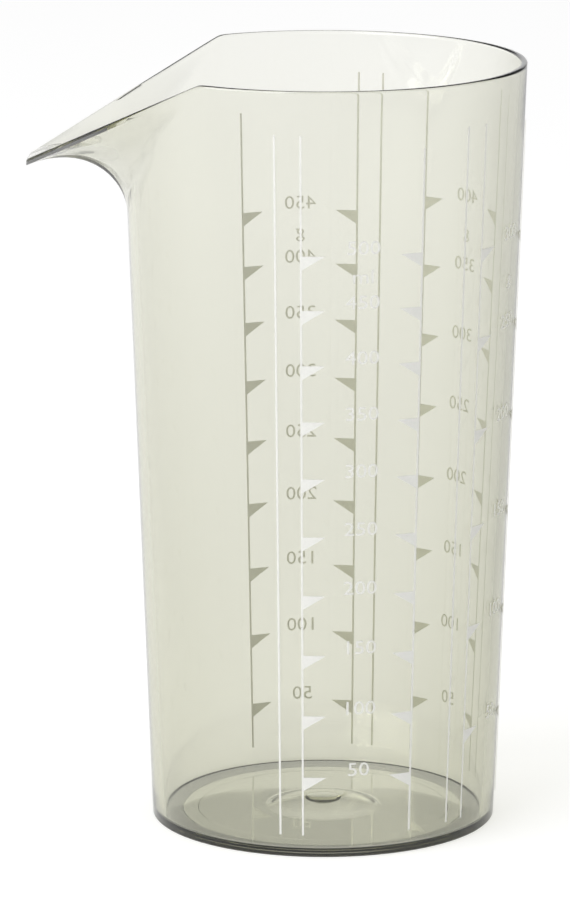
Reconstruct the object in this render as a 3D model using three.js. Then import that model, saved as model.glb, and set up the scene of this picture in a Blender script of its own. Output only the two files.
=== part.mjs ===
// A one-piece moulded measuring jug: a tapered see-through beaker with a long drooping
// pouring beak, and four printed scales round its wall. Millimetres, +Z up, the beak
// pointing along -X and the jug standing on Z = 0.

import * as THREE from 'three';

// Overall body
const jugHeight = 158;
const rimRadius = 41.3;
const baseRadius = 35.5;
const wallAtRim = 1.4;
const wallAtBase = 2.3;

// Beak, measured from the jug's axis and down from the rim
const beakReach = 60.6;
const beakTipHalfWidth = 4.8;
const beakTipDrop = 20.3;
const beakHalfAngle = 55.7;
const keelDrop = 31.7;
const keelRounding = 6;
const collarDepth = 4.5;
const beakEdgeDepth = 1.2;
const rimEdgeDepth = 0.8;
const rimEase = 0.3;

// How the wall sweeps out into the beak: shares of the sweep's height and reach
const sweepStart = 0.63;
const sweepEnd = 0.64;
const keelLift = 0.6;
const droopPower = 9;

// Base
const floorThickness = 1.5;
const floorFillet = 1.2;
const footWidth = 9.4;
const footEdgeRadius = 0.8;
const recessDepth = 0.15;
const recessStep = 0.3;
const dimpleRadius = 11.6;
const dimpleRise = 1.8;
const gateRadius = 3.4;
const gateDepth = 0.6;
const gateDraft = 0.5;

// Printed scales
const inkThickness = 0.1;
const inkClearance = 0.1;
const strokeWidth = 0.4;
const strokeBottom = 4.7;
const strokeTopMargin = 8.8;
const flagLength = 4.5;
const flagHeight = 2.8;
const flagMargin = 6;
const edgeToRightFlags = 7.4;

// Each scale: where its edge stroke stands, in degrees round the axis, how many marks
// it has, the height of the first, the step to the next, how much each later step
// shrinks as the jug widens, how many degrees on its stroke of left flags stands, and how
// far under the rim that one ends
const scales = [
  { name: 'water', bearing: -101.5, marks: 10, first: 17, step: 12.95, shrink: 0.24, left: 43, leftTop: 12 },
  { name: 'flour', bearing: -43.2, marks: 6, first: 23.3, step: 21.85, shrink: 0.9, left: 43, leftTop: 12 },
  { name: 'grain', bearing: 16.2, marks: 8, first: 16.6, step: 16.25, shrink: 0.31, left: 43, leftTop: 12 },
  { name: 'sugar', bearing: 74.6, marks: 9, first: 14.2, step: 14.95, shrink: 0.5, left: 44, leftTop: 17.5 },
];

// Fineness of the surfaces
const tipSteps = 4;
const flankSteps = 13;
const roundSteps = 54;
const sweepSteps = 10;
const easedSteps = 5;
const filletSteps = 4;
const domeSteps = 3;

const degree = Math.PI / 180;
const halfAngle = beakHalfAngle * degree;
const tipAngle = Math.atan2(beakTipHalfWidth, beakReach);
const taper = (rimRadius - baseRadius) / jugHeight;

// The beak's corners on the rim circle, and the slope of its lip down to the tip
const cornerReach = rimRadius * Math.cos(halfAngle);
const cornerHalfWidth = rimRadius * Math.sin(halfAngle);
const lipSlope = beakTipDrop / (beakReach - cornerReach);

function wallRadius(height) {
  return baseRadius + taper * height;
}

function wallThickness(height) {
  return wallAtBase + (wallAtRim - wallAtBase) * height / jugHeight;
}

function innerRadius(height) {
  return wallRadius(height) - wallThickness(height);
}

// Angles are taken from the beak's direction. The rim is a circle as far as the
// corners; from there each lip runs straight, as seen from above, to the blunt tip.
function rimReach(angle) {
  const away = Math.abs(angle);
  if (away >= halfAngle) return rimRadius;
  if (away <= tipAngle) return beakReach / Math.cos(away);
  const run = beakReach - cornerReach;
  const closing = beakTipHalfWidth - cornerHalfWidth;
  const share = (cornerHalfWidth - cornerReach * Math.tan(away)) / (run * Math.tan(away) - closing);
  return Math.hypot(cornerReach + share * run, cornerHalfWidth + share * closing);
}

// The height of the plane that the rim lies in: level round the beaker and falling
// along the beak
function rimPlane(alongBeak) {
  return jugHeight - lipSlope * Math.max(alongBeak - cornerReach, 0);
}

// 1 along the middle of the beak, fading to 0 at its corners and beyond
function beakShare(angle) {
  return 1 - Math.min(Math.abs(angle) / halfAngle, 1) ** 2;
}

// The height at which the wall starts to sweep outwards. It climbs from the keel's
// root to the corners in a rounded V.
function sweepRoot(angle) {
  const widthAt = (a) => Math.hypot(rimRadius * Math.sin(a), keelRounding) - keelRounding;
  const share = widthAt(Math.min(Math.abs(angle), halfAngle)) / widthAt(halfAngle);
  return THREE.MathUtils.lerp(jugHeight - keelDrop, jugHeight - collarDepth, share);
}

// The outside of the beak in one upright plane through the axis, from the wall to the
// foot of the lip's edge band
function sweepCurve(angle) {
  const share = beakShare(angle);
  const reach = rimReach(angle);
  const lip = rimPlane(reach * Math.cos(angle));
  const top = lip - THREE.MathUtils.lerp(rimEdgeDepth, beakEdgeDepth, share);
  const root = sweepRoot(angle);
  const start = new THREE.Vector2(wallRadius(root), root);
  const onBeak = Math.abs(angle) < halfAngle;
  const end = new THREE.Vector2(onBeak ? reach : wallRadius(top), top);
  const rise = end.y - start.y;
  const spread = end.x - start.x;
  const endRise = THREE.MathUtils.lerp(sweepEnd, -keelLift, share ** droopPower);
  return new THREE.CubicBezierCurve(
    start,
    new THREE.Vector2(start.x + taper * sweepStart * rise, start.y + sweepStart * rise),
    new THREE.Vector2(end.x - sweepEnd * spread, end.y - endRise * rise),
    end,
  );
}

// Underside, from the middle of the gate button out to the foot and round its edge
function undersideSection() {
  const dimple = (radius) => recessDepth + dimpleRise * (1 - (radius / dimpleRadius) ** 2);
  const points = [
    new THREE.Vector2(0, dimple(0) - gateDepth),
    new THREE.Vector2(gateRadius - gateDraft, dimple(0) - gateDepth),
  ];
  for (let step = 0; step <= domeSteps; step += 1) {
    const radius = THREE.MathUtils.lerp(gateRadius, dimpleRadius, step / domeSteps);
    points.push(new THREE.Vector2(radius, dimple(radius)));
  }
  const footInside = baseRadius - footWidth;
  points.push(new THREE.Vector2(footInside - recessStep, recessDepth));
  points.push(new THREE.Vector2(footInside, 0));
  const edgeCentre = wallRadius(footEdgeRadius) - footEdgeRadius;
  for (let step = 0; step <= filletSteps; step += 1) {
    const turn = (step / filletSteps) * Math.PI / 2;
    points.push(new THREE.Vector2(
      edgeCentre + footEdgeRadius * Math.sin(turn),
      footEdgeRadius * (1 - Math.cos(turn)),
    ));
  }
  return points;
}

// Inside of the base: the fillet at the foot of the wall and the low dome over the dimple
function floorSection() {
  const points = [];
  const filletCentre = innerRadius(floorThickness + floorFillet) - floorFillet;
  for (let step = 0; step <= filletSteps; step += 1) {
    const turn = (step / filletSteps) * Math.PI / 2;
    points.push(new THREE.Vector2(
      filletCentre + floorFillet * Math.cos(turn),
      floorThickness + floorFillet * (1 - Math.sin(turn)),
    ));
  }
  for (let step = domeSteps; step >= 0; step -= 1) {
    const share = step / domeSteps;
    points.push(new THREE.Vector2(dimpleRadius * share, floorThickness + dimpleRise * (1 - share ** 2)));
  }
  return points;
}

// Directions in which the wall is cut: close together at the tip and along the beak,
// even round the rest
function sectionAngles() {
  const angles = [];
  const addSpan = (from, to, steps) => {
    for (let step = 0; step < steps; step += 1) angles.push(THREE.MathUtils.lerp(from, to, step / steps));
  };
  addSpan(-tipAngle, tipAngle, tipSteps);
  addSpan(tipAngle, halfAngle, flankSteps);
  addSpan(halfAngle, 2 * Math.PI - halfAngle, roundSteps);
  addSpan(-halfAngle, -tipAngle, flankSteps);
  return angles.map((angle) => (angle > Math.PI ? angle - 2 * Math.PI : angle));
}

function inSpace(angle, radius, height) {
  return new THREE.Vector3(-radius * Math.cos(angle), -radius * Math.sin(angle), height);
}

// The way from the point before to the point after, round the jug
function wayRound(points, index) {
  const count = points.length;
  return points[(index + 1) % count].clone().sub(points[(index + count - 1) % count]);
}

// Directions averaged with their neighbours round the jug, so that the inside of a
// corner doesn't fold
function evened(directions) {
  const count = directions.length;
  return directions.map((direction, index) => direction.clone().multiplyScalar(2)
    .add(directions[(index + 1) % count])
    .add(directions[(index + count - 1) % count])
    .normalize());
}

// The outside of the sweep, one row of points round the jug above the other
function outsideRows(angles) {
  const curves = angles.map(sweepCurve);
  const rows = [];
  for (let step = 0; step <= sweepSteps; step += 1) {
    rows.push(curves.map((curve, index) => {
      const point = curve.getPoint(step / sweepSteps);
      return inSpace(angles[index], point.x, point.y);
    }));
  }
  return rows;
}

// The rows moved in by the wall's thickness, square to the surface
function insideRows(outside) {
  return outside.map((row, step) => {
    const below = outside[Math.max(step - 1, 0)];
    const above = outside[Math.min(step + 1, sweepSteps)];
    const normals = row.map((_, index) => {
      const up = above[index].clone().sub(below[index]);
      return wayRound(row, index).cross(up).normalize();
    });
    const even = evened(normals);
    return row.map((point, index) => point.clone().addScaledVector(even[index], -wallThickness(point.z)));
  });
}

// Four rows over the edge of the lip, from its outer to its inner side
function lipRows(angles) {
  const lips = angles.map((angle) => inSpace(angle, rimReach(angle), 0));
  const inwards = evened(lips.map((_, index) => {
    const way = wayRound(lips, index);
    return new THREE.Vector3(-way.y, way.x, 0).normalize();
  }));
  const rowAt = (distance, drop) => lips.map((lip, index) => {
    const point = lip.clone().addScaledVector(inwards[index], distance);
    return point.setZ(rimPlane(-point.x) - drop);
  });
  return [rowAt(0, rimEase), rowAt(rimEase, 0), rowAt(wallAtRim - rimEase, 0), rowAt(wallAtRim, rimEase)];
}

// All rows of the jug's skin, from the middle of the underside, up the outside, over the
// lip and down the inside to the middle of the floor. The inside is eased to the lip.
function jugRows(angles) {
  const level = (section) => section.map((point) => angles.map((angle) => inSpace(angle, point.x, point.y)));
  const outside = outsideRows(angles);
  const inside = insideRows(outside);
  const lip = lipRows(angles);
  const innerLip = lip.pop();
  const misses = innerLip.map((point, index) => point.clone().sub(inside[sweepSteps][index]));
  inside.forEach((row, step) => {
    const share = THREE.MathUtils.smoothstep(step, sweepSteps - easedSteps, sweepSteps);
    row.forEach((point, index) => point.addScaledVector(misses[index], share));
  });
  return [...level(undersideSection()), ...outside, ...lip, ...inside.reverse(), ...level(floorSection())];
}

// Joins the rows into one closed skin. The first and the last row lie on the axis, each
// as a single point.
function skin(rows) {
  const count = rows[0].length;
  const between = rows.slice(1, -1);
  const points = [rows[0][0], ...between.flat(), rows[rows.length - 1][0]];
  const last = points.length - 1;
  const vertex = (row, index) => 1 + row * count + (index % count);
  const faces = [];
  for (let index = 0; index < count; index += 1) {
    faces.push(0, vertex(0, index + 1), vertex(0, index));
    for (let row = 0; row < between.length - 1; row += 1) {
      const here = vertex(row, index);
      const next = vertex(row, index + 1);
      const above = vertex(row + 1, index);
      const nextAbove = vertex(row + 1, index + 1);
      faces.push(here, next, nextAbove, here, nextAbove, above);
    }
    faces.push(vertex(between.length - 1, index), vertex(between.length - 1, index + 1), last);
  }
  const geometry = new THREE.BufferGeometry().setFromPoints(points);
  geometry.setIndex(faces);
  geometry.computeVertexNormals();
  return geometry;
}

// One printed stroke laid flat, as points and the triangles between them. Across is
// positive to the right as seen from outside. Flags are right-angled triangles on one
// side of the stroke, and the level top edge of each is its mark.
function flatStroke(flagHeights, side, top) {
  const half = strokeWidth / 2;
  const points = [];
  const faces = [];
  const addPoint = (across, height) => points.push(new THREE.Vector2(side * across, height)) - 1;
  let plain = addPoint(-half, strokeBottom);
  let flagged = addPoint(half, strokeBottom);
  const climbTo = (height) => {
    const nextPlain = addPoint(-half, height);
    const nextFlagged = addPoint(half, height);
    faces.push(plain, flagged, nextFlagged, plain, nextFlagged, nextPlain);
    plain = nextPlain;
    flagged = nextFlagged;
  };
  flagHeights.forEach((height) => {
    climbTo(height - flagHeight);
    const foot = flagged;
    climbTo(height);
    const slant = addPoint(half + flagLength / 2, height - flagHeight / 2);
    const tip = addPoint(half + flagLength, height);
    const middle = addPoint(half + flagLength / 2, height);
    faces.push(foot, slant, middle, foot, middle, flagged, slant, tip, middle);
  });
  climbTo(top);
  return { points, faces: side > 0 ? faces : faces.reverse() };
}

// Wraps a flat stroke on to the wall as a thin closed film, its back face just clear of
// the plastic
function filmOnWall(flat, bearing) {
  const positions = [];
  [inkThickness, 0].forEach((lift) => {
    flat.points.forEach((point) => {
      const radius = wallRadius(point.y) + inkClearance + lift;
      const turn = bearing * degree + point.x / wallRadius(point.y);
      positions.push(radius * Math.cos(turn), radius * Math.sin(turn), point.y);
    });
  });
  const toBack = flat.points.length;
  const faces = [...flat.faces];
  const edges = [];
  for (let index = 0; index < flat.faces.length; index += 3) {
    const [a, b, c] = flat.faces.slice(index, index + 3);
    faces.push(c + toBack, b + toBack, a + toBack);
    edges.push([a, b], [b, c], [c, a]);
  }
  const edgeNames = new Set(edges.map((edge) => edge.join()));
  edges.forEach(([from, to]) => {
    if (edgeNames.has([to, from].join())) return;
    faces.push(to, from, from + toBack, to, from + toBack, to + toBack);
  });
  const geometry = new THREE.BufferGeometry();
  geometry.setAttribute('position', new THREE.Float32BufferAttribute(positions, 3));
  geometry.setIndex(faces);
  geometry.computeVertexNormals();
  return geometry;
}

function markHeights(scale) {
  const heights = [];
  for (let mark = 0; mark < scale.marks; mark += 1) {
    const height = scale.first + mark * scale.step - scale.shrink * mark * (mark - 1) / 2;
    if (height < jugHeight - scale.leftTop - flagMargin) heights.push(height);
  }
  return heights;
}

const tintedPlastic = new THREE.MeshStandardMaterial({
  color: 0xc9cbb6,
  roughness: 0.05,
  metalness: 0,
  transparent: true,
  opacity: 0.35,
  side: THREE.DoubleSide,
});

const jug = new THREE.Group();

function addPiece(name, geometry, material) {
  const mesh = new THREE.Mesh(geometry, material);
  mesh.name = name;
  jug.add(mesh);
}

addPiece('jug_body', skin(jugRows(sectionAngles())), tintedPlastic);

scales.forEach((scale) => {
  const heights = markHeights(scale);
  const strokes = [
    { name: 'edge_stroke', offset: 0, flags: [], side: 1, margin: strokeTopMargin },
    { name: 'right_flags', offset: edgeToRightFlags, flags: heights, side: 1, margin: strokeTopMargin },
    { name: 'left_flags', offset: scale.left, flags: heights, side: -1, margin: scale.leftTop },
  ];
  strokes.forEach((stroke) => {
    const flat = flatStroke(stroke.flags, stroke.side, jugHeight - stroke.margin);
    const ink = new THREE.MeshStandardMaterial({ color: 0xf4f4f0, roughness: 0.5, metalness: 0 });
    addPiece(`${scale.name}_scale_${stroke.name}`, filmOnWall(flat, scale.bearing + stroke.offset), ink);
  });
});

// The jug's own axis stands off the middle so that the whole part, beak included, is
// centred on the origin
jug.position.x = (beakReach - rimRadius) / 2;

export default jug;
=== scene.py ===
# A measuring jug moulded in one piece from smoke-tinted clear plastic, with four printed
# scales round its wall. Metres, +Z up, the beak pointing along -X.

import math

import bpy
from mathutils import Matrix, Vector


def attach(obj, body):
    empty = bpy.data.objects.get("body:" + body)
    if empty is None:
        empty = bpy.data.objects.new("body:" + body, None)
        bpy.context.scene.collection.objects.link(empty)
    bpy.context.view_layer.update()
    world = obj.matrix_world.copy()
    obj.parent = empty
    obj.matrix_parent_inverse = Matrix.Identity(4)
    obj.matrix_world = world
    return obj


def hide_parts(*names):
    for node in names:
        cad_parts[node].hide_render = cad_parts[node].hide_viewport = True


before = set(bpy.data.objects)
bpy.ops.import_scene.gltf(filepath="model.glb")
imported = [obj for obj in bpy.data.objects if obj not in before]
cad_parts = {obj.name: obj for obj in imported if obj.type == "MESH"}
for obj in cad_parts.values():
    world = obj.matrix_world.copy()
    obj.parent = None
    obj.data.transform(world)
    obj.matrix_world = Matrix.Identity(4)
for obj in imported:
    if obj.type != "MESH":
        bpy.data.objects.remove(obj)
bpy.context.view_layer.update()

MM = 0.001

# Camera
# It looks down at the jug from 1.2 m with a long lens, which keeps the wall's sides nearly
# parallel.
CAMERA_PLACE = Vector((59.73, -1194.94, 343.05)) * MM
CAMERA_AIM = Vector((-0.04735, 0.97496, -0.21726))
CAMERA_LENS = 237.94
CAMERA_SENSOR = 36

bpy.ops.object.camera_add(
    location=CAMERA_PLACE, rotation=CAMERA_AIM.to_track_quat("-Z", "Y").to_euler()
)
camera = bpy.context.object
camera.name = "camera"
camera.data.sensor_width = CAMERA_SENSOR
camera.data.lens = CAMERA_LENS
bpy.context.scene.camera = camera

# Jug
# One injection moulding in clear styrene plastic with a smoke tint: a tapered beaker,
# its wall drawn out into a long drooping beak. The mould leaves a gate button in a
# dimple under the floor. The plain beaker is spun, and the beak is then drawn from it.
JUG_HEIGHT = 158 * MM
RIM_RADIUS = 41.3 * MM
BASE_RADIUS = 35.5 * MM
WALL_AT_RIM = 1.4 * MM
WALL_AT_BASE = 2.3 * MM
AXIS_X = 9.65 * MM
BEAK_REACH = 60.6 * MM
TIP_HALF_WIDTH = 4.8 * MM
TIP_DROP = 20.3 * MM
BEAK_HALF_ANGLE = math.radians(55.7)
KEEL_DROP = 31.7 * MM
KEEL_ROUNDING = 6 * MM
COLLAR_DEPTH = 4.5 * MM
BEAK_EDGE_DEPTH = 1.2 * MM
RIM_EDGE_DEPTH = 0.8 * MM
SWEEP_START = 0.63
SWEEP_END = 0.64
KEEL_LIFT = 0.6
DROOP_POWER = 9
CORNER_SOFTNESS = 0.5 * MM
TIP_ROUNDING = 0.6 * MM
LIP_ROUNDING = 0.5 * MM
LIP_WIDTH = 1.3 * MM
FLOOR_THICKNESS = 1.5 * MM
FLOOR_FILLET = 0.6 * MM
FOOT_WIDTH = 9.4 * MM
FOOT_EDGE_RADIUS = 0.5 * MM
RECESS_DEPTH = 0.15 * MM
RECESS_STEP = 0.1 * MM
CONTACT_WIDTH = 6.2 * MM
CONTACT_STEP = 0.08 * MM
DIMPLE_RADIUS = 11.6 * MM
DIMPLE_RISE = 1.8 * MM
GATE_RADIUS = 3.4 * MM
GATE_DEPTH = 0.6 * MM
GATE_DRAFT = 0.5 * MM
GATE_EDGE = 0.2 * MM

# How fine the mesh is: points along a curve, rows up the wall and columns round it. Short
# faces of HOLD width keep the shading flat beside each edge.
HOLD = 0.4 * MM
CURVE_STEPS = 48
LOW_ROWS = 24
EASED_ROWS = 20
NORMAL_PASSES = 4
HIGH_ROWS = 64
HIGH_SHARE = 0.3
ROUNDING_STEPS = 6
LIP_STEPS = 4
TIP_COLUMNS = 5
TIP_CORNER_COLUMNS = 12
BEAK_COLUMNS = 56
ROUND_COLUMNS = 90
TIP_CORNER_FROM = 0.75
TIP_CORNER_TO = 1.6
WELD_DISTANCE = 0.001 * MM
CENTRE_RADIUS = 0.01 * MM
SMOOTH_ANGLE = math.radians(28)
MICRON = 0.001 * MM

taper = (RIM_RADIUS - BASE_RADIUS) / JUG_HEIGHT
tip_angle = math.atan2(TIP_HALF_WIDTH, BEAK_REACH)
corner = RIM_RADIUS * Vector((math.cos(BEAK_HALF_ANGLE), math.sin(BEAK_HALF_ANGLE)))
lip_slope = TIP_DROP / (BEAK_REACH - corner.x)
flank_way = (Vector((BEAK_REACH, TIP_HALF_WIDTH)) - corner).normalized()
flank_normal = Vector((-flank_way.y, flank_way.x))


def lerp(start, end, share):
    return start + (end - start) * share


def wall_radius(height):
    return BASE_RADIUS + taper * height


def wall_thickness(height):
    return lerp(WALL_AT_BASE, WALL_AT_RIM, height / JUG_HEIGHT)


def arc(centre_r, centre_z, radius, start, end):
    """Points of an arc in the section, angles in quarter turns from straight out, upwards."""
    shares = [i / ROUNDING_STEPS for i in range(ROUNDING_STEPS + 1)]
    turns = [lerp(start, end, share) * math.pi / 2 for share in shares]
    return [(centre_r + radius * math.cos(t), centre_z + radius * math.sin(t)) for t in turns]


def rim_reach(angle):
    """The rim's distance from the axis. The lips run straight from its corners to the tip."""
    away = abs(angle)
    if away >= BEAK_HALF_ANGLE:
        return RIM_RADIUS
    flank = corner.dot(flank_normal) / Vector((math.cos(away), math.sin(away))).dot(flank_normal)
    tip = BEAK_REACH / math.cos(away)
    return (flank + tip - math.hypot(flank - tip, TIP_ROUNDING)) / 2


def rim_plane(along_beak):
    """The height of the rim: level round the beaker and falling along the beak."""
    past = along_beak - corner.x
    softly = (past + math.hypot(past, CORNER_SOFTNESS)) / 2
    return JUG_HEIGHT - lip_slope * softly


def sweep_curve(angle):
    """The outside of the beak in one upright plane through the axis, as a cubic's four points."""
    away = min(abs(angle), BEAK_HALF_ANGLE)
    share = 1 - (away / BEAK_HALF_ANGLE) ** 2

    def width_at(a):
        return math.hypot(RIM_RADIUS * math.sin(a), KEEL_ROUNDING) - KEEL_ROUNDING

    root = JUG_HEIGHT - lerp(KEEL_DROP, COLLAR_DEPTH, width_at(away) / width_at(BEAK_HALF_ANGLE))
    reach = rim_reach(angle)
    lip = rim_plane(reach * math.cos(angle))
    top = lip - lerp(RIM_EDGE_DEPTH, BEAK_EDGE_DEPTH, share)
    start = Vector((wall_radius(root), root))
    end = Vector((reach if away < BEAK_HALF_ANGLE else wall_radius(top), top))
    rise, spread = end.y - start.y, end.x - start.x
    end_rise = lerp(SWEEP_END, -KEEL_LIFT, share**DROOP_POWER)
    return (
        start,
        Vector((start.x + taper * SWEEP_START * rise, start.y + SWEEP_START * rise)),
        Vector((end.x - SWEEP_END * spread, end.y - end_rise * rise)),
        end,
    )


def outside_path(angle):
    """The outside of the wall in one direction, from the foot to the edge of the lip."""
    a, b, c, d = sweep_curve(angle)
    path = [Vector((wall_radius(FOOT_EDGE_RADIUS), FOOT_EDGE_RADIUS))]
    for i in range(CURVE_STEPS + 1):
        t = i / CURVE_STEPS
        u = 1 - t
        path.append(a * u**3 + b * 3 * u * u * t + c * 3 * u * t * t + d * t**3)
    return path


def spread_rows(path):
    """Points on a path at the shares of its length where the mesh has its rows."""
    lengths = [0.0]
    for here, there in zip(path, path[1:]):
        lengths.append(lengths[-1] + (there - here).length)
    points, piece = [], 0
    for share in row_shares:
        want = share * lengths[-1]
        while piece < len(path) - 2 and lengths[piece + 1] < want:
            piece += 1
        local = (want - lengths[piece]) / (lengths[piece + 1] - lengths[piece])
        points.append(path[piece].lerp(path[piece + 1], local))
    return points


def in_space(angle, radius, height):
    return Vector((-radius * math.cos(angle), -radius * math.sin(angle), height))


def evened(vectors):
    """Unit vectors averaged a few times with their neighbours round the jug."""
    count = len(vectors)
    for _ in range(NORMAL_PASSES):
        vectors = [
            (vectors[i - 1] + vectors[i] * 2 + vectors[(i + 1) % count]).normalized()
            for i in range(count)
        ]
    return vectors


def inside_rows(outside, lips):
    """The inside of the wall: the outside moved in by the wall's thickness, square to the
    surface, and eased to the inner edge of the lip."""
    count = len(outside)
    rows = []
    for row in range(last_row + 1):
        below, above = max(row - 1, 0), min(row + 1, last_row)
        normals = []
        for i in range(count):
            around = outside[(i + 1) % count][row] - outside[i - 1][row]
            up = outside[i][above] - outside[i][below]
            normals.append(around.cross(up).normalized())
        rows.append(evened(normals))
    floor_top = FLOOR_THICKNESS + FLOOR_FILLET
    inside = []
    for i in range(count):
        line = []
        for row in range(last_row + 1):
            point = outside[i][row]
            line.append(point - rows[row][i] * wall_thickness(point.z))
        for row in range(LOW_ROWS):
            height = lerp(floor_top, line[LOW_ROWS].z, row / LOW_ROWS)
            radius = wall_radius(height) - wall_thickness(height)
            line[row] = in_space(column_angles[i], radius, height)
        miss = lips[i] - line[last_row]
        for row in range(last_row - EASED_ROWS, last_row + 1):
            share = (row - last_row + EASED_ROWS) / EASED_ROWS
            line[row] = line[row] + miss * share * share * (3 - 2 * share)
        inside.append(line)
    return inside


def rounded(before, corner_point, after):
    """A corner of the section, rounded between the points before and after it."""
    start = corner_point + (before - corner_point).normalized() * LIP_ROUNDING
    end = corner_point + (after - corner_point).normalized() * LIP_ROUNDING
    shares = [i / LIP_STEPS for i in range(LIP_STEPS + 1)]
    return [start * (1 - t) ** 2 + corner_point * 2 * t * (1 - t) + end * t * t for t in shares]


def wall_sections():
    """The wall in every direction: up the outside, over the lip and down the inside."""
    outside = []
    outer_lips = []
    for angle in column_angles:
        outside.append([in_space(angle, *point) for point in spread_rows(outside_path(angle))])
        reach = rim_reach(angle)
        outer_lips.append(in_space(angle, reach, rim_plane(reach * math.cos(angle))))
    count = len(outer_lips)
    arounds = [outer_lips[(i + 1) % count] - outer_lips[i - 1] for i in range(count)]
    inwards = evened([Vector((-way.y, way.x, 0)).normalized() for way in arounds])
    inner_lips = []
    for lip, way in zip(outer_lips, inwards):
        x, y, _ = lip + way * LIP_WIDTH
        inner_lips.append(Vector((x, y, rim_plane(-x))))
    inside = inside_rows(outside, inner_lips)
    sections = []
    for out, lip, inner_lip, line in zip(outside, outer_lips, inner_lips, inside):
        edge = rounded(out[-1], lip, inner_lip) + rounded(lip, inner_lip, line[-2])
        sections.append(out + edge + line[-2::-1])
    return sections


# Rows lie closer together in the upper wall, and columns at the tip and along the beak
row_shares = [(1 - HIGH_SHARE) * i / LOW_ROWS for i in range(LOW_ROWS)]
row_shares += [1 - HIGH_SHARE + HIGH_SHARE * i / HIGH_ROWS for i in range(HIGH_ROWS + 1)]
last_row = len(row_shares) - 1
half_turn = []
for low, high, count in (
    (0, TIP_CORNER_FROM * tip_angle, TIP_COLUMNS),
    (TIP_CORNER_FROM * tip_angle, TIP_CORNER_TO * tip_angle, TIP_CORNER_COLUMNS),
    (TIP_CORNER_TO * tip_angle, BEAK_HALF_ANGLE, BEAK_COLUMNS),
    (BEAK_HALF_ANGLE, math.pi, ROUND_COLUMNS),
):
    half_turn += [lerp(low, high, i / count) for i in range(count)]
column_angles = half_turn + [math.pi] + [-a for a in half_turn[:0:-1]]


def underside_points():
    """From the gate button out over the dimple, the two fine steps and the foot's edge."""

    def dimple(radius):
        return RECESS_DEPTH + DIMPLE_RISE * (1 - (radius / DIMPLE_RADIUS) ** 2)

    gate_bottom = dimple(0) - GATE_DEPTH
    points = [(0, gate_bottom), (GATE_RADIUS - GATE_DRAFT - GATE_EDGE, gate_bottom)]
    points += [(GATE_RADIUS - GATE_DRAFT, gate_bottom + GATE_EDGE / 2)]
    points += [(GATE_RADIUS - GATE_EDGE / 2, dimple(GATE_RADIUS) - GATE_EDGE)]
    for i in range(ROUNDING_STEPS + 1):
        radius = lerp(GATE_RADIUS + GATE_EDGE, DIMPLE_RADIUS, i / ROUNDING_STEPS)
        points.append((radius, dimple(radius)))
    points += [(DIMPLE_RADIUS + HOLD, RECESS_DEPTH), (DIMPLE_RADIUS + 2 * HOLD, RECESS_DEPTH)]
    for radius, high, low in (
        (BASE_RADIUS - FOOT_WIDTH, RECESS_DEPTH, CONTACT_STEP),
        (BASE_RADIUS - CONTACT_WIDTH, CONTACT_STEP, 0),
    ):
        points += [(radius - RECESS_STEP - HOLD, high), (radius - RECESS_STEP, high)]
        points += [(radius, low), (radius + HOLD, low)]
    edge = wall_radius(FOOT_EDGE_RADIUS) - FOOT_EDGE_RADIUS
    points += [(edge - HOLD, 0)]
    points += arc(edge, FOOT_EDGE_RADIUS, FOOT_EDGE_RADIUS, -1, 0)[:-1]
    return points


def floor_points():
    """From the foot of the inside wall in over the floor and its low dome to the axis."""
    top = FLOOR_THICKNESS + FLOOR_FILLET
    centre = wall_radius(top) - wall_thickness(top) - FLOOR_FILLET
    points = arc(centre, top, FLOOR_FILLET, 0, -1)[1:]
    points += [(centre - HOLD, FLOOR_THICKNESS)]
    points += [(DIMPLE_RADIUS + 2 * HOLD, FLOOR_THICKNESS), (DIMPLE_RADIUS + HOLD, FLOOR_THICKNESS)]
    for i in range(ROUNDING_STEPS, -1, -1):
        share = i / ROUNDING_STEPS
        points.append((DIMPLE_RADIUS * share, FLOOR_THICKNESS + DIMPLE_RISE * (1 - share**2)))
    return points


def deselect_all():
    if bpy.context.object and bpy.context.object.mode == "EDIT":
        bpy.ops.mesh.select_all(action="DESELECT")
    else:
        bpy.ops.object.select_all(action="DESELECT")


def draw_profile(name, points):
    """A new object holding one open line through the points, drawn by extruding a vertex."""
    deselect_all()
    bpy.ops.mesh.primitive_plane_add(size=1 * MM, location=(0, 0, 0))
    piece = bpy.context.object
    piece.name = piece.data.name = name
    bpy.ops.object.mode_set(mode="EDIT")
    bpy.ops.mesh.merge(type="CENTER")
    here = Vector((points[0][0], 0, points[0][1]))
    bpy.ops.transform.translate(value=here)
    for r, z in points[1:]:
        there = Vector((r, 0, z))
        bpy.ops.mesh.extrude_region_move(TRANSFORM_OT_translate={"value": there - here})
        here = there
    return piece


# The plain beaker is spun from its section
sections = wall_sections()
back_section = [(abs(point.x), point.z) for point in sections[len(half_turn)]]
profile = underside_points() + back_section + floor_points()
columns = len(column_angles)
jug = draw_profile("jug", profile)
bpy.ops.mesh.select_all(action="SELECT")
bpy.ops.mesh.spin(steps=columns, angle=2 * math.pi, center=(0, 0, 0), axis=(0, 0, 1))
bpy.ops.mesh.select_all(action="SELECT")
bpy.ops.mesh.remove_doubles(threshold=WELD_DISTANCE)
bpy.ops.mesh.normals_make_consistent(inside=False)
bpy.ops.object.mode_set(mode="OBJECT")

# The beak is drawn from the wall: the spun columns close up towards it, and each row of
# a column moves to its place on the drooping sweep
SATIN_ANGLE = math.radians(24)

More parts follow.
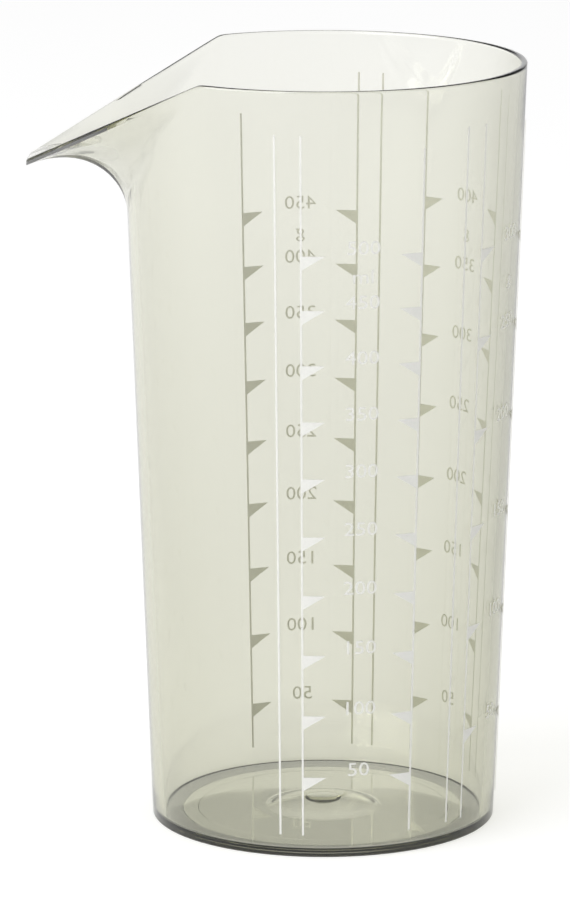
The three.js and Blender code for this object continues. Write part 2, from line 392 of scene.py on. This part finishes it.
beak_edge = set()
row_of = {(round(r / MICRON), round(z / MICRON)): row for row, (r, z) in enumerate(back_section)}
for vertex in jug.data.vertices:
    x, y, z = vertex.co
    radius = math.hypot(x, y)
    if radius > CENTRE_RADIUS:
        column = round(math.atan2(y, x) / (2 * math.pi) * columns) % columns
        r_key, z_key = round(radius / MICRON), round(z / MICRON)
        near = [row_of.get((r_key + i, z_key + j)) for i in (0, -1, 1) for j in (0, -1, 1)]
        found = [row for row in near if row is not None]
        if found:
            vertex.co = sections[column][found[0]]
            if found[0] in (last_row, last_row + 1) and abs(column_angles[column]) < SATIN_ANGLE:
                beak_edge.add(vertex.index)
        else:
            vertex.co = in_space(column_angles[column], radius, z)
    vertex.co.x += AXIS_X

bpy.ops.object.shade_smooth_by_angle(angle=SMOOTH_ANGLE)


def linear(colour):
    """The linear colour of an sRGB hex value."""
    parts = [int(colour[i : i + 2], 16) / 255 for i in (1, 3, 5)]
    return *(c / 12.92 if c <= 0.04045 else ((c + 0.055) / 1.055) ** 2.4 for c in parts), 1.0


def add_node(tree, kind, inputs=None, **settings):
    """Adds a node with its settings, and sets or links its inputs."""
    made = tree.nodes.new(kind)
    for name, value in settings.items():
        setattr(made, name, value)
    for socket, value in (inputs or {}).items():
        if isinstance(value, bpy.types.NodeSocket):
            tree.links.new(value, made.inputs[socket])
        else:
            made.inputs[socket].default_value = value
    return made


def new_material(name):
    material = bpy.data.materials.new(name)
    material.use_nodes = True
    material.node_tree.nodes.clear()
    return material, material.node_tree


# Clear styrene plastic, injection moulded against a polished tool: a high gloss with
# strong bright edges, a smoke-olive tint that deepens with the path through the wall, a
# very faint waviness where the melt cooled, and a trace of haze out on the beak
PLASTIC_IOR = 1.57
PLASTIC_TINT = "#DEDECC"
TINT_DENSITY = 295.0
WAVE_SIZE = 14 * MM
WAVE_DETAIL = 1.0
WAVE_DEPTH = 0.004 * MM
BEAK_HAZE = 0.03
HAZE_FROM = -30 * MM
HAZE_TO = -37 * MM
SHADOW_TINT = (0.95, 0.95, 0.94, 1.0)


def tinted_plastic(name, roughness, haze):
    """The plastic with a surface of its own. Haze is the share that scatters light, which
    grows from nothing on the wall to its full value out on the beak. Shadow and diffuse
    rays pass straight through, so that the ink and the floor are lit through the wall."""
    plastic, tree = new_material(name)
    place = add_node(tree, "ShaderNodeTexCoord").outputs["Object"]
    waves = add_node(
        tree, "ShaderNodeTexNoise", {"Vector": place, "Scale": 1 / WAVE_SIZE, "Detail": WAVE_DETAIL}
    )
    bump = add_node(
        tree, "ShaderNodeBump", {"Height": waves.outputs["Fac"], "Distance": WAVE_DEPTH, "Strength": 1.0}
    )
    along = add_node(tree, "ShaderNodeSeparateXYZ", {0: place}).outputs["X"]
    clear = add_node(
        tree,
        "ShaderNodeMapRange",
        {"Value": along, "From Min": HAZE_FROM, "From Max": HAZE_TO, "To Min": 1.0, "To Max": 1.0 - haze},
    )
    gloss = add_node(
        tree,
        "ShaderNodeBsdfPrincipled",
        {
            "Base Color": (1, 1, 1, 1),
            "Roughness": roughness,
            "IOR": PLASTIC_IOR,
            "Transmission Weight": clear.outputs["Result"],
            "Normal": bump.outputs["Normal"],
        },
    )
    shade = add_node(tree, "ShaderNodeBsdfTransparent", {"Color": SHADOW_TINT})
    ray = add_node(tree, "ShaderNodeLightPath").outputs
    lighting = add_node(
        tree, "ShaderNodeMath", {0: ray["Is Shadow Ray"], 1: ray["Is Diffuse Ray"]}, operation="MAXIMUM"
    )
    surface = add_node(
        tree, "ShaderNodeMixShader", {0: lighting.outputs[0], 1: gloss.outputs[0], 2: shade.outputs[0]}
    )
    tint = add_node(
        tree, "ShaderNodeVolumeAbsorption", {"Color": linear(PLASTIC_TINT), "Density": TINT_DENSITY}
    )
    add_node(
        tree, "ShaderNodeOutputMaterial", {"Surface": surface.outputs[0], "Volume": tint.outputs[0]}
    )
    return plastic


jug.data.materials.clear()
jug.data.materials.append(tinted_plastic("smoke_tinted_styrene", 0.0, BEAK_HAZE))

# The two halves of the tool meet along the edge of the beak, which is left satin there
# and shows as an even grey band
SATIN_ROUGHNESS = 0.3
SATIN_HAZE = 0.12

jug.data.materials.append(tinted_plastic("satin_parting_edge", SATIN_ROUGHNESS, SATIN_HAZE))
for face in jug.data.polygons:
    if all(index in beak_edge for index in face.vertices):
        face.material_index = 1

# The ring that the jug stands on is satin from the tool and from wear, so that the table
# shows softly through it, as a ring of its own round the clearer floor
CONTACT_ROUGHNESS = 0.15
CONTACT_LEVEL = 0.001 * MM

jug.data.materials.append(tinted_plastic("satin_contact_ring", CONTACT_ROUGHNESS, 0.0))
for face in jug.data.polygons:
    spots = [jug.data.vertices[index].co for index in face.vertices]
    nearest = min(math.hypot(spot.x - AXIS_X, spot.y) for spot in spots)
    if max(spot.z for spot in spots) < CONTACT_LEVEL and nearest > BASE_RADIUS - CONTACT_WIDTH - HOLD:
        face.material_index = 2

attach(jug, "root")
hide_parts("jug_body")

# Printed ink
# White screen ink laid on the outside of the wall after moulding, as a film a tenth of a
# millimetre thick. The strokes and their flags are the frame's own films. The film is
# matt, a little uneven in tone, and lets some light through from behind. The weave of the
# printing screen is drawn coarser than it is, so that it shows.
INK_WHITE = "#F8F8F6"
INK_ROUGHNESS = 0.45
INK_SHOW_THROUGH = 0.45
SCREEN_GRAIN = 0.35 * MM
SCREEN_DETAIL = 2.0
THIN_INK_TONE = 0.94
GRAIN_LOW = 0.3
GRAIN_HIGH = 0.7

ink, tree = new_material("white_screen_ink")
place = add_node(tree, "ShaderNodeTexCoord").outputs["Object"]
grain = add_node(
    tree, "ShaderNodeTexNoise", {"Vector": place, "Scale": 1 / SCREEN_GRAIN, "Detail": SCREEN_DETAIL}
)
tone = add_node(
    tree,
    "ShaderNodeMapRange",
    {
        "Value": grain.outputs["Fac"],
        "From Min": GRAIN_LOW,
        "From Max": GRAIN_HIGH,
        "To Min": THIN_INK_TONE,
        "To Max": 1.0,
    },
)
white = add_node(
    tree,
    "ShaderNodeMix",
    {0: 1.0, 6: linear(INK_WHITE), 7: tone.outputs["Result"]},
    data_type="RGBA",
    blend_type="MULTIPLY",
)
film = add_node(
    tree, "ShaderNodeBsdfPrincipled", {"Base Color": white.outputs[2], "Roughness": INK_ROUGHNESS}
)
glow = add_node(tree, "ShaderNodeBsdfTranslucent", {"Color": white.outputs[2]})
printed = add_node(
    tree, "ShaderNodeMixShader", {0: INK_SHOW_THROUGH, 1: film.outputs[0], 2: glow.outputs[0]}
)
add_node(tree, "ShaderNodeOutputMaterial", {"Surface": printed.outputs[0]})

for name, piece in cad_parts.items():
    if name != "jug_body":
        piece.data.materials.clear()
        piece.data.materials.append(ink)

# Numerals
# Printed with the strokes in the same ink: each number stands just over the level top
# of its mark, and the unit letters stand between the two highest numbers. They are drawn
# flat as text, turned to a mesh and then rolled onto the wall.
INK_LIFT = 0.1 * MM
INK_THICKNESS = 0.1 * MM
NUMERAL_HEIGHT = 2.75 * MM
NUMERAL_WIDENING = 1.18
NUMERAL_THINNING = -0.002
NUMERAL_CURVE_STEPS = 3
NUMERAL_RISE = 0.3 * MM
NUMERAL_OFFSET = math.radians(25.2)
MARK_VALUE = 50

# Each scale: its bearing round the axis in degrees, how many marks it has, and in
# millimetres the height of the first, the step to the next and how much each later step
# shrinks as the jug widens
scales = (
    {"name": "water_scale", "bearing": -101.5, "marks": 10, "first": 17, "step": 12.95, "shrink": 0.24},
    {"name": "flour_scale", "bearing": -43.2, "marks": 6, "first": 23.3, "step": 21.85, "shrink": 0.9},
    {"name": "grain_scale", "bearing": 16.2, "marks": 8, "first": 16.6, "step": 16.25, "shrink": 0.31},
    {"name": "sugar_scale", "bearing": 74.6, "marks": 9, "first": 14.2, "step": 14.95, "shrink": 0.5},
)

# The height of a plain nought says how tall the typeface is at its own size
deselect_all()
bpy.ops.object.text_add(location=(0, 0, 0))
bpy.context.object.data.body = "0"
bpy.ops.object.convert(target="MESH")
nought = bpy.context.object
type_height = max(vertex.co.y for vertex in nought.data.vertices)
bpy.data.objects.remove(nought)


def add_text(words, bottom):
    """Flat raised letters centred on X, standing on the given height, as a mesh."""
    deselect_all()
    bpy.ops.object.text_add(location=(0, 0, 0))
    letters = bpy.context.object
    letters.data.body = words
    letters.data.align_x = "CENTER"
    letters.data.extrude = INK_THICKNESS / 2
    letters.data.offset = NUMERAL_THINNING
    letters.data.resolution_u = NUMERAL_CURVE_STEPS
    bpy.ops.object.convert(target="MESH")
    letters = bpy.context.object
    for vertex in letters.data.vertices:
        vertex.co.x *= NUMERAL_HEIGHT / type_height * NUMERAL_WIDENING
        vertex.co.y = vertex.co.y * NUMERAL_HEIGHT / type_height + bottom
    return letters


for scale in scales:
    heights = []
    for mark in range(scale["marks"]):
        shrunk = scale["shrink"] * mark * (mark - 1) / 2
        heights.append((scale["first"] + mark * scale["step"] - shrunk) * MM)
    texts = []
    for mark, height in enumerate(heights):
        texts.append(add_text(str(MARK_VALUE * (mark + 1)), height + NUMERAL_RISE))
    unit = "ml" if scale["name"] == "water_scale" else "g"
    texts.append(add_text(unit, (heights[-1] + heights[-2]) / 2))
    deselect_all()
    for text in texts:
        text.select_set(True)
    bpy.context.view_layer.objects.active = texts[0]
    bpy.ops.object.join()
    numerals = bpy.context.object
    numerals.name = numerals.data.name = scale["name"] + "_numerals"
    middle = math.radians(scale["bearing"]) + NUMERAL_OFFSET
    for vertex in numerals.data.vertices:
        across, height, lift = vertex.co
        radius = wall_radius(height) + INK_LIFT + INK_THICKNESS / 2 + lift
        turn = middle + across / wall_radius(height)
        vertex.co = (radius * math.cos(turn) + AXIS_X, radius * math.sin(turn), height)
    numerals.data.materials.clear()
    numerals.data.materials.append(ink)
    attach(numerals, "root")

# Studio surroundings
# White paper stands round the jug up to PAPER_TOP, the room over it is a dim grey and
# the ceiling is lighter. The right side is dark, which draws the dark lines at the right
# end of the rim. The camera sees plain white, and matt surfaces get an even light.
ROOM_LEVEL = 0.15
PAPER_TOP = math.sin(math.radians(15.82))
PAPER_EDGE = 0.0006
CEILING_LEVEL = 0.5
CEILING_FROM = math.sin(math.radians(30))
CEILING_TO = math.sin(math.radians(50))
RIGHT_FROM = 0.12
RIGHT_TO = 0.4
RIGHT_LEVEL = 0.15
AMBIENT_LEVEL = 0.75

world = bpy.data.worlds.new("studio")
bpy.context.scene.world = world
world.use_nodes = True
tree = world.node_tree
tree.nodes.clear()
ray = add_node(tree, "ShaderNodeLightPath").outputs
way = add_node(tree, "ShaderNodeTexCoord").outputs["Generated"]
heading = add_node(tree, "ShaderNodeSeparateXYZ", {0: way}).outputs
ceiling = add_node(
    tree,
    "ShaderNodeMapRange",
    {
        "Value": heading["Z"],
        "From Min": CEILING_FROM,
        "From Max": CEILING_TO,
        "To Min": ROOM_LEVEL,
        "To Max": CEILING_LEVEL,
    },
    interpolation_type="SMOOTHSTEP",
)
paper = add_node(
    tree,
    "ShaderNodeMapRange",
    {
        "Value": heading["Z"],
        "From Min": PAPER_TOP - PAPER_EDGE,
        "From Max": PAPER_TOP + PAPER_EDGE,
        "To Min": 1.0,
        "To Max": ceiling.outputs[0],
    },
)
right = add_node(
    tree,
    "ShaderNodeMapRange",
    {
        "Value": heading["X"],
        "From Min": RIGHT_FROM,
        "From Max": RIGHT_TO,
        "To Min": 1.0,
        "To Max": RIGHT_LEVEL,
    },
)
around = add_node(
    tree, "ShaderNodeMath", {0: paper.outputs[0], 1: right.outputs[0]}, operation="MULTIPLY"
)
mirrored = add_node(
    tree, "ShaderNodeMath", {0: ray["Is Glossy Ray"], 1: ray["Is Transmission Ray"]}, operation="MAXIMUM"
)
lit = add_node(
    tree,
    "ShaderNodeMix",
    {0: mirrored.outputs[0], 2: AMBIENT_LEVEL, 3: around.outputs[0]},
    data_type="FLOAT",
)
seen = add_node(
    tree, "ShaderNodeMix", {0: ray["Is Camera Ray"], 2: lit.outputs[0], 3: 1.0}, data_type="FLOAT"
)
surround = add_node(tree, "ShaderNodeBackground", {"Color": (1, 1, 1, 1), "Strength": seen.outputs[0]})
add_node(tree, "ShaderNodeOutputWorld", {"Surface": surround.outputs[0]})

# Floor
# Matt white paper with a soft light of its own. The jug rests on it with a hair of air
# between, as a moulded foot does. The glow that the plastic shows of it by reflection
# and refraction carries painted shade, dimmer to the right, in front and near the jug,
# and painted light, lighter far behind.
FLOOR_SIZE = 8.0
FLOOR_GAP = 0.1 * MM
FLOOR_WHITE = 0.62
FLOOR_GLOW = 0.46
# Painted light and shade: the glow the plastic shows is lower near the jug and higher far behind
NEAR_GLOW = 0.88
FAR_GLOW = 1.15
FAR_FROM = 0.2
FAR_TO = 0.7
# Painted shade: the glow the plastic shows falls off to the right and in front
DIM_FROM = 0.02
DIM_TO = 0.16
DIM_LEVEL = 0.45
FRONT_FROM = -0.05
FRONT_TO = -0.4
FRONT_LEVEL = 0.3

deselect_all()
bpy.ops.mesh.primitive_plane_add(size=FLOOR_SIZE, location=(0, 0, -FLOOR_GAP))
floor = bpy.context.object
floor.name = "floor"
sheet, tree = new_material("white_paper_floor")
ray = add_node(tree, "ShaderNodeLightPath").outputs
place = add_node(tree, "ShaderNodeTexCoord").outputs["Object"]
spot = add_node(tree, "ShaderNodeSeparateXYZ", {0: place}).outputs
# Painted shade to the right and in front, and painted light far behind, on the glow that reflections and
# refraction show
dim = add_node(
    tree,
    "ShaderNodeMapRange",
    {"Value": spot["X"], "From Min": DIM_FROM, "From Max": DIM_TO, "To Min": 1.0, "To Max": DIM_LEVEL},
    interpolation_type="SMOOTHSTEP",
)
front = add_node(
    tree,
    "ShaderNodeMapRange",
    {
        "Value": spot["Y"],
        "From Min": FRONT_FROM,
        "From Max": FRONT_TO,
        "To Min": 1.0,
        "To Max": FRONT_LEVEL,
    },
    interpolation_type="SMOOTHSTEP",
)
painted_far_light = add_node(
    tree,
    "ShaderNodeMapRange",
    {
        "Value": spot["Y"],
        "From Min": FAR_FROM,
        "From Max": FAR_TO,
        "To Min": NEAR_GLOW,
        "To Max": FAR_GLOW,
    },
)
painted_side_and_front_shade = add_node(
    tree, "ShaderNodeMath", {0: dim.outputs[0], 1: front.outputs[0]}, operation="MULTIPLY"
)
painted_floor_shading = add_node(
    tree, "ShaderNodeMath", {0: painted_side_and_front_shade.outputs[0], 1: painted_far_light.outputs[0]}, operation="MULTIPLY"
)
plain = add_node(
    tree, "ShaderNodeMath", {0: ray["Is Camera Ray"], 1: ray["Is Diffuse Ray"]}, operation="MAXIMUM"
)
falling = add_node(
    tree, "ShaderNodeMix", {0: plain.outputs[0], 2: painted_floor_shading.outputs[0], 3: 1.0}, data_type="FLOAT"
)
level = add_node(tree, "ShaderNodeMath", {0: falling.outputs[0], 1: FLOOR_GLOW}, operation="MULTIPLY")
fill = add_node(tree, "ShaderNodeEmission", {"Color": (1, 1, 1, 1), "Strength": level.outputs[0]})
matt = add_node(tree, "ShaderNodeBsdfDiffuse", {"Color": (FLOOR_WHITE, FLOOR_WHITE, FLOOR_WHITE, 1)})
together = add_node(tree, "ShaderNodeAddShader", {0: fill.outputs[0], 1: matt.outputs[0]})
add_node(tree, "ShaderNodeOutputMaterial", {"Surface": together.outputs[0]})
floor.data.materials.append(sheet)

# Softbox
# One large soft light to the front left, aimed at the middle of the jug.
KEY_POWER = 14.0
KEY_SIZE = 1.2
KEY_PLACE = Vector((-0.8, -0.8, 0.75))
KEY_AIM = Vector((0, 0, 0.08))

bpy.ops.object.light_add(
    type="AREA",
    location=KEY_PLACE,
    rotation=(KEY_AIM - KEY_PLACE).to_track_quat("-Z", "Y").to_euler(),
)
key = bpy.context.object
key.name = "softbox"
key.data.energy = KEY_POWER
key.data.size = KEY_SIZE
key.visible_camera = False

# Light paths
# Light crosses the clear walls many times, and the shadow comes from the plastic's own
# transparent share.
CLEAR_BOUNCES = 64
SHADOW_BOUNCES = 24

scene = bpy.context.scene
scene.cycles.max_bounces = CLEAR_BOUNCES
scene.cycles.glossy_bounces = CLEAR_BOUNCES
scene.cycles.transmission_bounces = CLEAR_BOUNCES
scene.cycles.transparent_max_bounces = SHADOW_BOUNCES
scene.cycles.caustics_reflective = False
scene.cycles.caustics_refractive = False
scene.view_settings.view_transform = "Standard"
